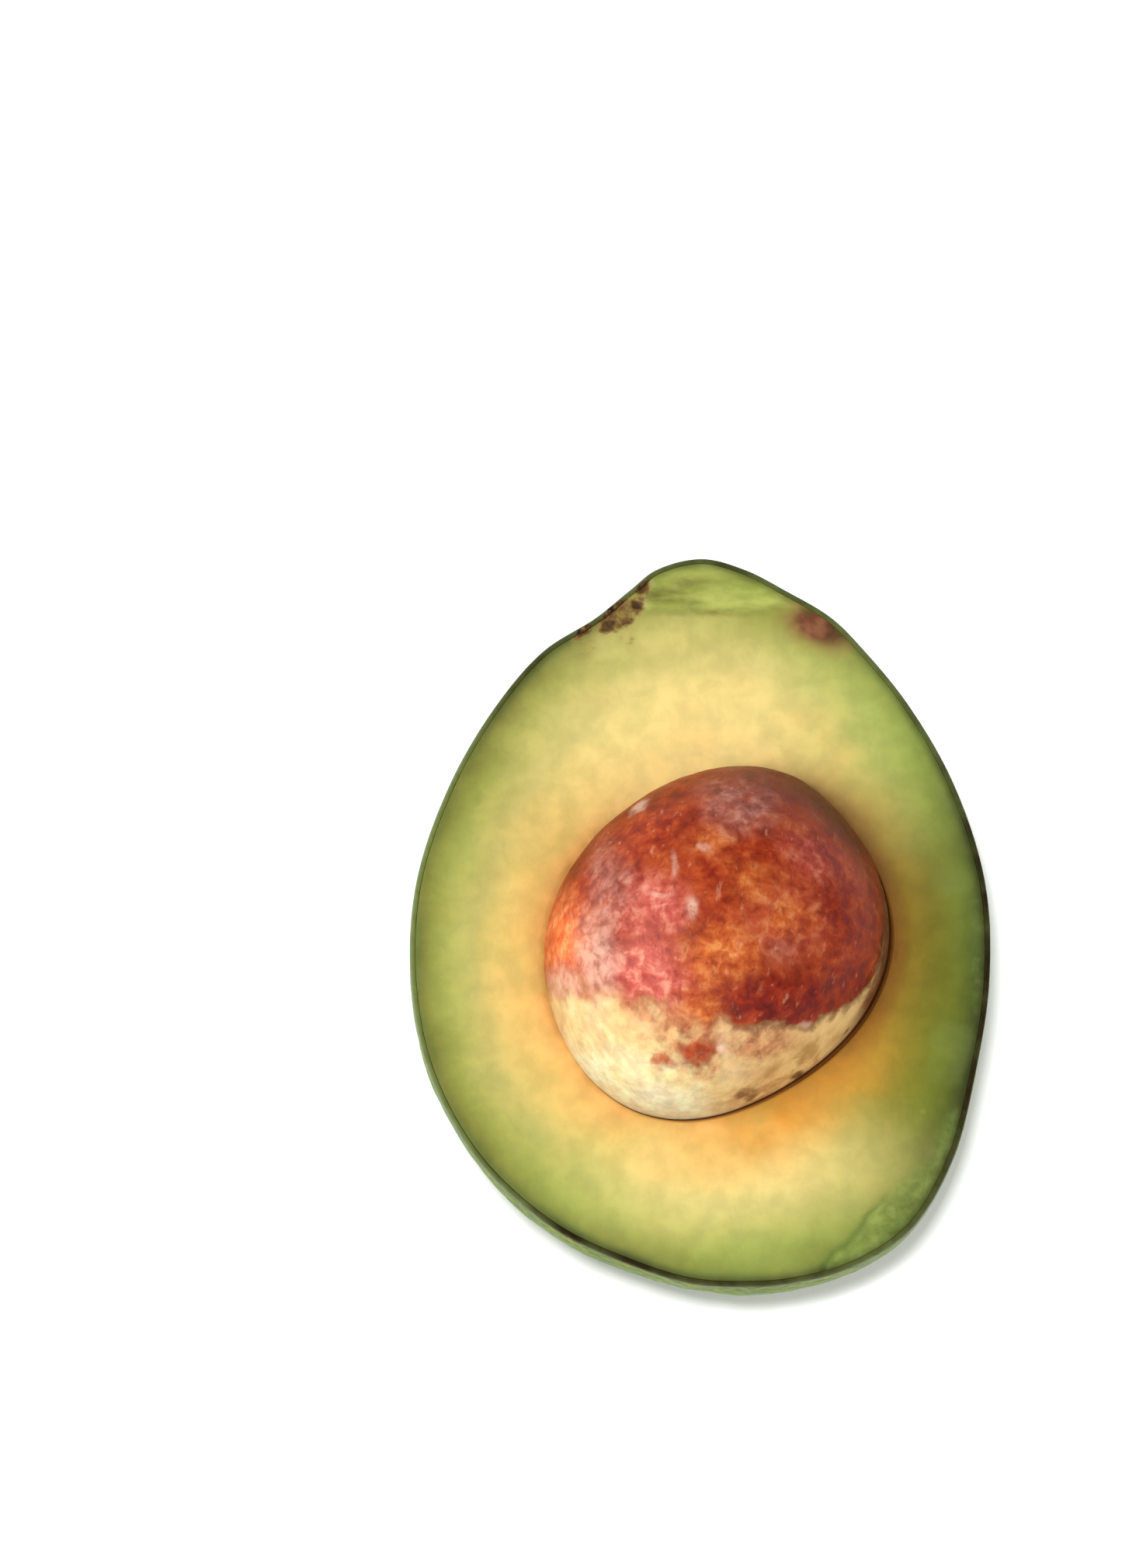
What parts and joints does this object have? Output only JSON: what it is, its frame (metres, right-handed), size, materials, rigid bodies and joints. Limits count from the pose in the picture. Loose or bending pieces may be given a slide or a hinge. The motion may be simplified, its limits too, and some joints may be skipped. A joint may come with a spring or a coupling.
{
  "type": "avocado half",
  "caption": "Lengthwise half of a green-skinned avocado with a level cut face, resting on its round side, with its large seed in the hollow.",
  "frame": {"origin": "on the surface that the fruit rests on, below the middle of the bounding box", "axes": "+Z is the upward normal of the cut face, +Y points to the stem end, +X is to the right when the cut face is seen from above with the stem end up"},
  "size_m": [0.0925, 0.1186, 0.0698],
  "materials": {
    "flesh": "satin",
    "skin": "satin",
    "seed": "satin"
  },
  "bodies": {
    "root": {"fruit_half": "flesh", "seed": "seed"}
  },
  "joints": []
}
